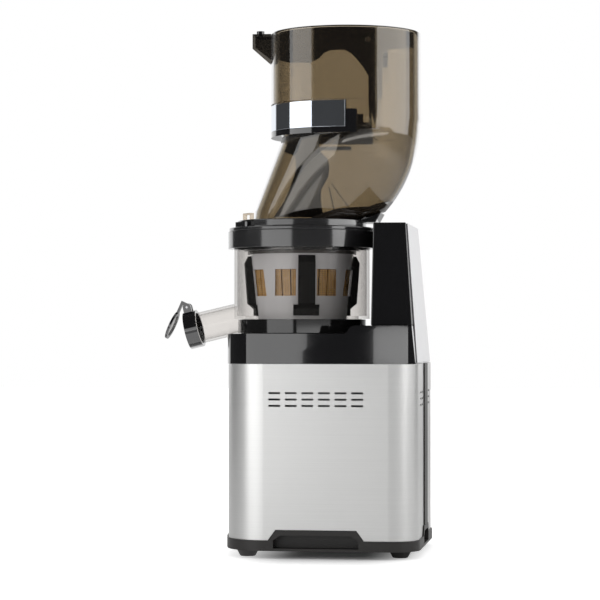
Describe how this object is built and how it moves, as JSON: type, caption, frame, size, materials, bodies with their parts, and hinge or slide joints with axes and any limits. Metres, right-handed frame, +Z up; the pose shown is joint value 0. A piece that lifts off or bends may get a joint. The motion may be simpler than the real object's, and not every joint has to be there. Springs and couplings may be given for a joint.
{
  "type": "cold press juicer",
  "caption": "Slow juicer: steel motor base, clear drum with hinged-cap spout, geared auger and wipers, turn-lock lid and wide smoked hopper with a drop gate.",
  "frame": {"origin": "middle of the juicer's footprint box, on the floor plane under the rubber feet", "axes": "+Z up; X along the base, the juice spout points to -X and the upright front panel is at +X; Y across the base, with the switch and mains inlet on the +Y side"},
  "size_m": [0.2714, 0.199, 0.5345],
  "materials": {
    "brushed_steel": "horizontal brushed grain",
    "charcoal_plastic": "satin moulded",
    "foot_rubber": "matt",
    "black_gloss": "piano gloss",
    "silver_panel": "satin silver",
    "motor_iron": "dark enamel",
    "copper_winding": "enamelled wire",
    "machined_steel": "turned",
    "fan_plastic": "moulded",
    "cast_aluminium": "cast",
    "seal_black": "matt",
    "silicone": "matt translucent",
    "board_green": "lacquered",
    "brass_pins": "plated",
    "drum_black": "polished",
    "clear_plastic": "clear",
    "smoke_grey": "translucent grey",
    "gear_nylon": "moulded",
    "amber_plastic": "amber engineering plastic",
    "auger_grey": "moulded",
    "satin_black": "satin",
    "tab_clear": "clear",
    "smoke_brown": "smoked clear",
    "chrome": "mirror polish"
  },
  "bodies": {
    "base": {"steel_casing": "brushed_steel", "plinth": "charcoal_plastic", "rubber_feet": "foot_rubber", "foot_screws": "machined_steel", "deck_housing": "black_gloss", "tower_cover": "black_gloss", "front_plate": "silver_panel", "end_strip": "charcoal_plastic", "motor_can": "motor_iron", "motor_stator": "copper_winding", "gearbox_pan": "cast_aluminium", "gearbox_lid": "cast_aluminium", "shaft_bearings": "machined_steel", "shaft_seal": "seal_black", "control_board": "board_green", "mains_inlet": "charcoal_plastic", "inlet_pins": "brass_pins", "switch_bezel": "charcoal_plastic"},
    "rotor": {"motor_rotor": "machined_steel", "cooling_fan": "fan_plastic"},
    "layshaft": {"layshaft_gears": "machined_steel"},
    "drive": {"drive_shaft": "machined_steel"},
    "rocker": {"rocker_switch": "black_gloss"},
    "drum": {"drum_base": "drum_black", "juice_drum": "clear_plastic", "drum_seal": "silicone", "pulp_spout": "drum_black", "idler_pin": "machined_steel", "strainer": "amber_plastic", "spout_collar": "black_gloss", "cap_pin": "machined_steel"},
    "idler": {"idler_gear": "gear_nylon"},
    "wipers": {"wiper_frame": "smoke_grey", "wiper_blades": "seal_black"},
    "auger": {"auger": "auger_grey"},
    "cap": {"cap_arm": "black_gloss", "spout_cap": "clear_plastic"},
    "lid": {"lock_ring": "satin_black", "lid_plate": "satin_black", "lid_gasket": "silicone", "lid_tab": "tab_clear", "tab_block": "black_gloss", "lid_wedge": "black_gloss", "hopper_shell": "smoke_brown", "rim_bracket": "smoke_brown", "rim_knob": "black_gloss", "hopper_carrier": "black_gloss", "chrome_band": "chrome", "gate_frame": "satin_black", "gate_pin": "machined_steel"},
    "gate": {"flip_gate": "satin_black"}
  },
  "joints": [
    {"name": "motor_spin", "type": "hinge", "parent": "base", "child": "rotor", "pos_m": [0.0675, 0, 0.088], "axis": [0, 0, 1], "continuous": true},
    {"name": "layshaft_spin", "type": "hinge", "parent": "base", "child": "layshaft", "pos_m": [0.051, 0.032, 0.156], "axis": [0, 0, 1], "continuous": true},
    {"name": "drive_spin", "type": "hinge", "parent": "base", "child": "drive", "pos_m": [0.0075, 0, 0.176], "axis": [0, 0, 1], "continuous": true},
    {"name": "rocker_tilt", "type": "hinge", "parent": "base", "child": "rocker", "pos_m": [0.0345, 0.0883, 0.108], "axis": [0, 0, 1], "range_deg": [-9, 9]},
    {"name": "drum_lift", "type": "slide", "parent": "base", "child": "drum", "axis": [0, 0, 1], "range_m": [0, 0.06]},
    {"name": "auger_spin", "type": "hinge", "parent": "drum", "child": "auger", "pos_m": [0.0075, 0, 0.25], "axis": [0, 0, 1], "continuous": true},
    {"name": "idler_spin", "type": "hinge", "parent": "drum", "child": "idler", "pos_m": [-0.01424, -0.02174, 0.236], "axis": [0, 0, 1], "continuous": true},
    {"name": "wiper_spin", "type": "hinge", "parent": "drum", "child": "wipers", "pos_m": [0.0075, 0, 0.25], "axis": [0, 0, 1], "continuous": true},
    {"name": "spout_cap_hinge", "type": "hinge", "parent": "drum", "child": "cap", "pos_m": [-0.1122, 0, 0.24934], "axis": [0, 1, 0], "range_deg": [-37.7, 75]},
    {"name": "lid_turn", "type": "hinge", "parent": "drum", "child": "lid", "pos_m": [0.0075, 0, 0.3093], "axis": [0, 0, 1], "range_deg": [0, 35]},
    {"name": "feed_gate_hinge", "type": "hinge", "parent": "lid", "child": "gate", "pos_m": [0.0832, 0, 0.516], "axis": [0, 1, 0], "range_deg": [0, 88]}
  ],
  "couplings": [
    {"joint": "layshaft_spin", "follows": "motor_spin", "ratio": -0.24138},
    {"joint": "drive_spin", "follows": "motor_spin", "ratio": 0.058264},
    {"joint": "auger_spin", "follows": "motor_spin", "ratio": 0.058264},
    {"joint": "idler_spin", "follows": "motor_spin", "ratio": -0.10099},
    {"joint": "wiper_spin", "follows": "motor_spin", "ratio": -0.027051}
  ]
}
